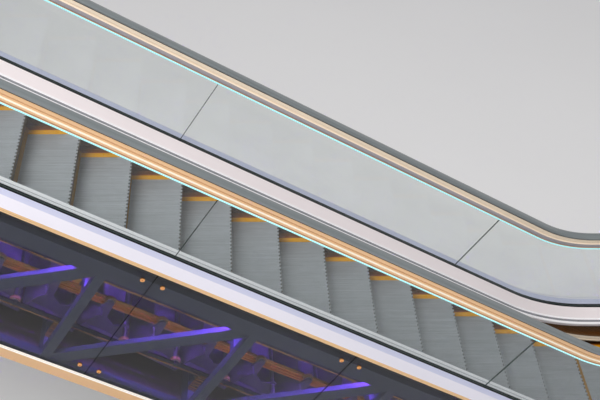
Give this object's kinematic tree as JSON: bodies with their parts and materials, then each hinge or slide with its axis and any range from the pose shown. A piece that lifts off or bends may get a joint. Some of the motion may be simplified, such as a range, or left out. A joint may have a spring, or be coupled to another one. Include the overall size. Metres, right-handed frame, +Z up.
{
  "type": "escalator",
  "caption": "Glass-sided escalator with lit handrails, cleated steps, an open steel truss seen through glass cladding, and both landings.",
  "frame": {"origin": "middle of the bearing face under the support angle at the lower end", "axes": "+X runs towards the lower landing, +Y across the steps, +Z up"},
  "size_m": [12.1134, 1.51, 6.152],
  "materials": {
    "truss_paint": "dark blue-grey structural paint",
    "bearing_steel": "primed steel",
    "soffit_sheet": "satin grey sheet",
    "side_glass": "grey-tinted laminated glass",
    "trim_bronze": "satin champagne bronze",
    "outer_deck_white": "satin white with a lilac cast",
    "inner_deck_white": "satin warm white",
    "gasket_black": "black rubber gasket",
    "balustrade_glass": "clear toughened glass",
    "guide_bronze": "satin champagne",
    "light_cyan": "frosted light strip",
    "handrail_rubber": "blue-grey moulded handrail",
    "newel_grey": "satin grey",
    "skirt_steel": "dark coated steel",
    "brush_holder": "anodised holder with black bristles",
    "step_grey": "painted die-cast aluminium",
    "line_yellow": "safety yellow inserts",
    "roller_tan": "polyurethane tyred rollers",
    "chain_steel": "oiled steel chain",
    "rail_steel": "galvanised rail",
    "wheel_steel": "machined steel wheel",
    "comb_aluminium": "die-cast aluminium comb",
    "floor_steel": "brushed stainless tread plate",
    "light_violet": "violet strip lamp"
  },
  "bodies": {
    "root": {"truss_near": "truss_paint", "side_glass_near": "side_glass", "bottom_trim_near": "trim_bronze", "outer_deck_near": "outer_deck_white", "inner_deck_near": "inner_deck_white", "glass_gasket_near": "gasket_black", "balustrade_glass_near": "balustrade_glass", "handrail_guide_near": "guide_bronze", "handrail_light_near": "light_cyan", "handrail_near": "handrail_rubber", "skirt_near": "skirt_steel", "step_chain_near": "chain_steel", "truss_far": "truss_paint", "side_glass_far": "side_glass", "bottom_trim_far": "trim_bronze", "outer_deck_far": "outer_deck_white", "inner_deck_far": "inner_deck_white", "glass_gasket_far": "gasket_black", "balustrade_glass_far": "balustrade_glass", "handrail_guide_far": "guide_bronze", "handrail_light_far": "light_cyan", "handrail_far": "handrail_rubber", "skirt_far": "skirt_steel", "step_chain_far": "chain_steel", "truss_crossbeams": "truss_paint", "truss_end_lower": "truss_paint", "truss_end_upper": "truss_paint", "bearing_lower": "bearing_steel", "bearing_upper": "bearing_steel", "soffit_panel": "soffit_sheet", "newel_bases": "newel_grey", "skirt_brushes": "brush_holder", "steps": "step_grey", "step_lines": "line_yellow", "return_steps": "step_grey", "step_rollers": "roller_tan", "guide_rails": "rail_steel", "drive_wheels": "wheel_steel", "idler_wheels": "wheel_steel", "comb_plates": "comb_aluminium", "floor_plates": "floor_steel", "truss_lights": "light_violet"}
  },
  "joints": []
}
